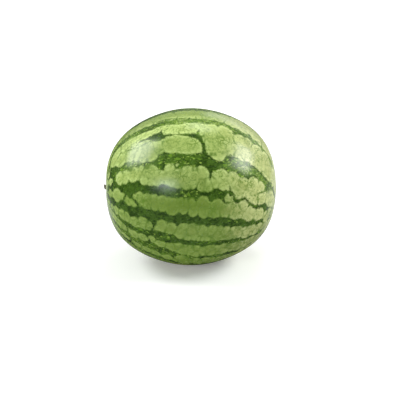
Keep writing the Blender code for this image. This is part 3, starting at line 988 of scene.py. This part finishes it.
def light_patches(g, place, depth, fine):
    """Yellow-green lobes: paler rims that are partly painted light, olive middles, darker seams and
    a fine dark mesh.
    """
    pale = pale_skin_with_painted_light(g, place)
    tone = g.times(attribute(g, "lobe_tone"), 0.45)
    middle = g.times(g.ramp(depth, 1.5, 8.0), g.plus(tone, 0.6), clamp=True)
    pale = g.blend(middle, pale, g.vector("MULTIPLY", pale, OLIVE_SHADE))
    # paler rim of each lobe, partly painted light as on a bulge
    rim = g.times(g.ramp(depth, 0.3, 1.8), g.ramp(depth, 2.0, 4.5, 0.6, 0.0))
    pale = g.blend(rim, pale, g.vector("MULTIPLY", pale, RIM_TINT_AND_LIGHT))
    pale = g.blend(veins(g, place, fine), pale, VEIN)
    broken = g.ramp(g.noise(place, 0.12, detail=2.0), 0.38, 0.62, 0.35, 1.0)
    seam = g.ramp(attribute(g, "seam"), 0.0, SEAM_WIDTH, 0.9, 0.0)
    near = g.ramp(depth, 2.0, 9.0, 1.0, 0.5)
    return g.blend(g.times(g.times(seam, near), broken), pale, CREASE)


def pale_skin_with_painted_light(g, place):
    """The light bands' colour: paler at the shoulder, with painted light and shade by the angle
    around, and towards the blossom end a tint with painted sheen.
    """
    # painted light and shade by the angle around, mixed with the bands' own paleness
    share = g.plus(attribute(g, "paleness_and_painted_light"), g.times(g.sway(place, 0.018), 0.6))
    along = g.split(place)[0]
    shoulder = g.times(g.ramp(along, *SHOULDER_RISE), g.ramp(along, *SHOULDER_FALL, 0.22, 0.0))
    share = g.plus(share, shoulder, clamp=True)
    pale = g.blend(share, LIGHT_DEEP, LIGHT_PALE)
    # the blossom side's tint, partly its own colour and partly a painted sheen
    return g.blend(g.ramp(along, *BLOSSOM_SIDE, 0.0, 0.76), pale, BLOSSOM_TINT_AND_SHEEN)


def veins(g, place, fine):
    """How strongly the dark net, the grain and the blotches show in the light skin."""
    net = g.cells(g.wander(place, 0.18, 6.0), 0.13, feature="DISTANCE_TO_EDGE")["Distance"]
    net = g.ramp(net, 0.0, 0.17, 1.0, 0.0)
    patchy = g.ramp(g.noise(place, 0.045, detail=2.0), 0.45, 0.62)
    patchy = g.math("MAXIMUM", g.times(patchy, 0.5), attribute(g, "crackle"))
    net = g.times(g.times(net, patchy), 0.95)
    rough = g.ramp(g.noise(place, 0.07, detail=2.0), 0.38, 0.62, 0.26, 0.85)
    grain = g.times(g.ramp(fine, 0.47, 0.66), rough)
    blotch = g.ramp(g.noise(place, 0.20, detail=3.0, roughness=0.65), 0.45, 0.68, 0.0, 0.42)
    return g.math("MAXIMUM", net, g.plus(grain, blotch), clamp=True)


def dark_stripes(g, place, strength):
    """Dark green with darker marks and brighter flecks, of which a weak stripe has more."""
    wide = g.noise(place, 0.09, detail=3.0, roughness=0.6)
    close = g.noise(g.vector("MULTIPLY", place, STREAK), 0.42, detail=3.0, roughness=0.65)
    shade = g.plus(g.times(wide, 0.5), g.times(close, 0.5))
    deep = g.blend(g.ramp(shade, 0.40, 0.60), DARK_DEEP, DARK)
    deep = g.blend(g.ramp(strength, 0.25, 0.9, 0.6, 0.0), deep, DARK_MOTTLE)
    crooked = g.vector("MULTIPLY", g.wander(place, 0.35, 3.6), STREAK)
    for scale, shift, colour in FLECKS:
        chance, bright, _ = g.split(g.cells(crooked, scale)["Color"])
        start = g.minus(g.times(strength, 1.6), 0.74 - shift, clamp=True)
        chosen = g.ramp(chance, start, g.plus(start, 0.08))
        border = g.cells(crooked, scale, feature="DISTANCE_TO_EDGE")["Distance"]
        share = g.times(g.ramp(border, 0.02, 0.30), g.ramp(bright, 0.0, 1.0, 0.35, 1.0))
        deep = g.blend(g.times(share, chosen), deep, colour)
    return deep


def stem_material():
    """Grey-brown, with fibres along the stub and darker bundles in its paler cut face."""
    made, g, shader = new_material("melon_stem")
    place = in_millimetres(g)
    fibres = g.noise(g.vector("MULTIPLY", place, (0.25, 1.6, 1.6)), 1.4, detail=4.0)
    colour = g.blend(g.ramp(fibres, 0.4, 0.68), STEM_BROWN, STEM_PALE)
    cut = attribute(g, "cut_face")
    bundles = g.ramp(g.cells(place, 1.5)["Distance"], 0.16, 0.40)
    pith = g.blend(g.times(bundles, g.ramp(cut, 0.15, 0.4)), STEM_BROWN, STEM_PITH)
    colour = g.blend(g.ramp(cut, 0.02, 0.10), colour, pith)
    g.put(shader.inputs["Base Color"], colour)
    shader.inputs["Roughness"].default_value = STEM_ROUGHNESS
    roughen(g, shader, fibres, *STEM_RELIEF)
    return made


# Studio

def place_camera(middle):
    """Frames the fruit as the photograph does, from a little above."""
    right = Vector((1, 0, 0))
    up = Vector((0, math.sin(ELEVATION), math.cos(ELEVATION)))
    back = Vector((0, -math.cos(ELEVATION), math.sin(ELEVATION)))
    half = PHOTO_PIXELS / 2
    target = (Vector(middle) + right * (half - FRUIT_PIXEL[0]) * PIXEL
              - up * (half - FRUIT_PIXEL[1]) * PIXEL)
    data = bpy.data.cameras.new("photo_camera")
    data.sensor_width = SENSOR
    data.lens = SENSOR * DISTANCE / (PHOTO_PIXELS * PIXEL)
    data.clip_end = SIGHT
    made = new_object("photo_camera", data)
    turn = Matrix((right, up, back)).transposed().to_4x4()
    made.matrix_world = Matrix.Translation(target + back * DISTANCE) @ turn
    bpy.context.scene.camera = made


def softbox(name, middle, direction, distance, size, watts, turn, colour):
    """A soft box that faces the fruit's middle."""
    data = bpy.data.lights.new(name, "AREA")
    data.shape = "RECTANGLE"
    data.size, data.size_y = size
    data.energy = watts
    data.color = colour
    made = new_object(name, data)
    towards = Vector(direction).normalized()
    made.location = Vector(middle) + towards * distance
    facing = (-towards).to_track_quat("-Z", "Y") @ Quaternion((0, 0, 1), math.radians(turn))
    made.rotation_euler = facing.to_euler()


def surround():
    """A world that is white for the camera, dim as a light, and uneven in the fruit's gloss."""
    world = bpy.data.worlds.new("studio")
    bpy.context.scene.world = world
    world.use_nodes = True
    g = Graph(world.node_tree)
    outwards = g.add("ShaderNodeTexCoord").outputs["Generated"]
    rays = g.add("ShaderNodeLightPath").outputs
    facing = g.math("MAXIMUM", g.vector("DOT_PRODUCT", outwards, SKY_TILT), 0.0)
    soft = g.plus(g.times(g.power(facing, 2.0), SKY_ABOVE), SKY_EVEN)
    behind = g.vector("DOT_PRODUCT", outwards, GLOSS_SIDE)
    backdrop = g.ramp(behind, *GLOSS_SPREAD, FRONT_GLOSS, BACK_GLOSS)
    _, away, up = g.split(outwards)
    high = g.times(g.ramp(up, *HIGH_UP), g.ramp(away, *HIGH_AWAY))
    backdrop = g.math("MAXIMUM", backdrop, g.times(high, HIGH_GLOSS))
    levels = {0: rays["Is Glossy Ray"], 2: soft, 3: backdrop}
    strength = g.add("ShaderNodeMix", levels, data_type="FLOAT")
    background = world.node_tree.nodes["Background"]
    background.inputs["Color"].default_value = (*WHITE, 1)
    seen = g.math("MAXIMUM", strength.outputs[0], rays["Is Camera Ray"])
    g.put(background.inputs["Strength"], seen)


def mirrored_floor(g):
    """The floor in the fruit's gloss, bright only beside the fruit and just behind it."""
    across, back, _ = g.split(g.add("ShaderNodeTexCoord").outputs["Object"])
    (left, left_depth), (right, right_depth) = FLOOR_DEPTHS
    reach = g.over(back, g.ramp(across, left, right, left_depth, right_depth))
    beside = g.times(g.ramp(back, *FLOOR_FRONT), g.ramp(reach, 0.85, 1.25, 1.0, 0.0))
    level = g.ramp(across, *FLOOR_LEFT, FLOOR_DIM, FLOOR_MIRRORED)
    return g.ramp(beside, 0.0, 1.0, FLOOR_DIM, level)


def lay_floor():
    """A white paper floor, a stage for the fruit."""
    mesh = bpy.data.meshes.new("floor")
    edge = FLOOR_REACH
    mesh.from_pydata([(-edge, -edge, 0), (edge, -edge, 0), (edge, edge, 0), (-edge, edge, 0)],
                     [], [(0, 1, 2, 3)])
    made = new_object("floor", mesh)
    paper, g, shader = new_material("white_floor")
    rays = g.add("ShaderNodeLightPath").outputs
    seen = rays["Is Camera Ray"]
    whiteness = g.ramp(rays["Is Glossy Ray"], 0.0, 1.0, FLOOR_BOUNCE, mirrored_floor(g))
    whiteness = g.ramp(seen, 0.0, 1.0, whiteness, FLOOR_SEEN)
    g.put(shader.inputs["Base Color"], g.join(whiteness, whiteness, whiteness))
    shader.inputs["Roughness"].default_value = FLOOR_ROUGHNESS
    shader.inputs["Specular IOR Level"].default_value = FLOOR_SPECULAR
    shader.inputs["Emission Color"].default_value = (*WHITE, 1)
    far = g.vector("LENGTH", g.add("ShaderNodeTexCoord").outputs["Object"])
    glow = g.ramp(far, *FLOOR_NEAR_FAR, *FLOOR_GLOW)
    g.put(shader.inputs["Emission Strength"], g.times(glow, seen))
    mesh.materials.append(paper)


def main():
    rind = grow("watermelon_rind", rind_tree(),
                {"Blossom reach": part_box("fruit")[1].x, "Rind": rind_material()})
    skin = lay_markings(rind.data)
    low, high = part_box("stem_stub")
    stub = grow("watermelon_stem", stub_tree(),
                {"Base x": high.x, "Base z": (low.z + high.z) / 2, "Stem": stem_material()})
    for piece, node, slot in ((rind, "fruit", "rind"), (stub, "stem_stub", "dry_stem")):
        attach(piece, "root")
        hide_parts(node)
    place_camera(skin.middle)
    for name, *settings in SOFTBOXES:
        softbox(name, skin.middle, *settings)
    surround()
    lay_floor()
    bpy.context.scene.view_settings.view_transform = "Standard"


main()
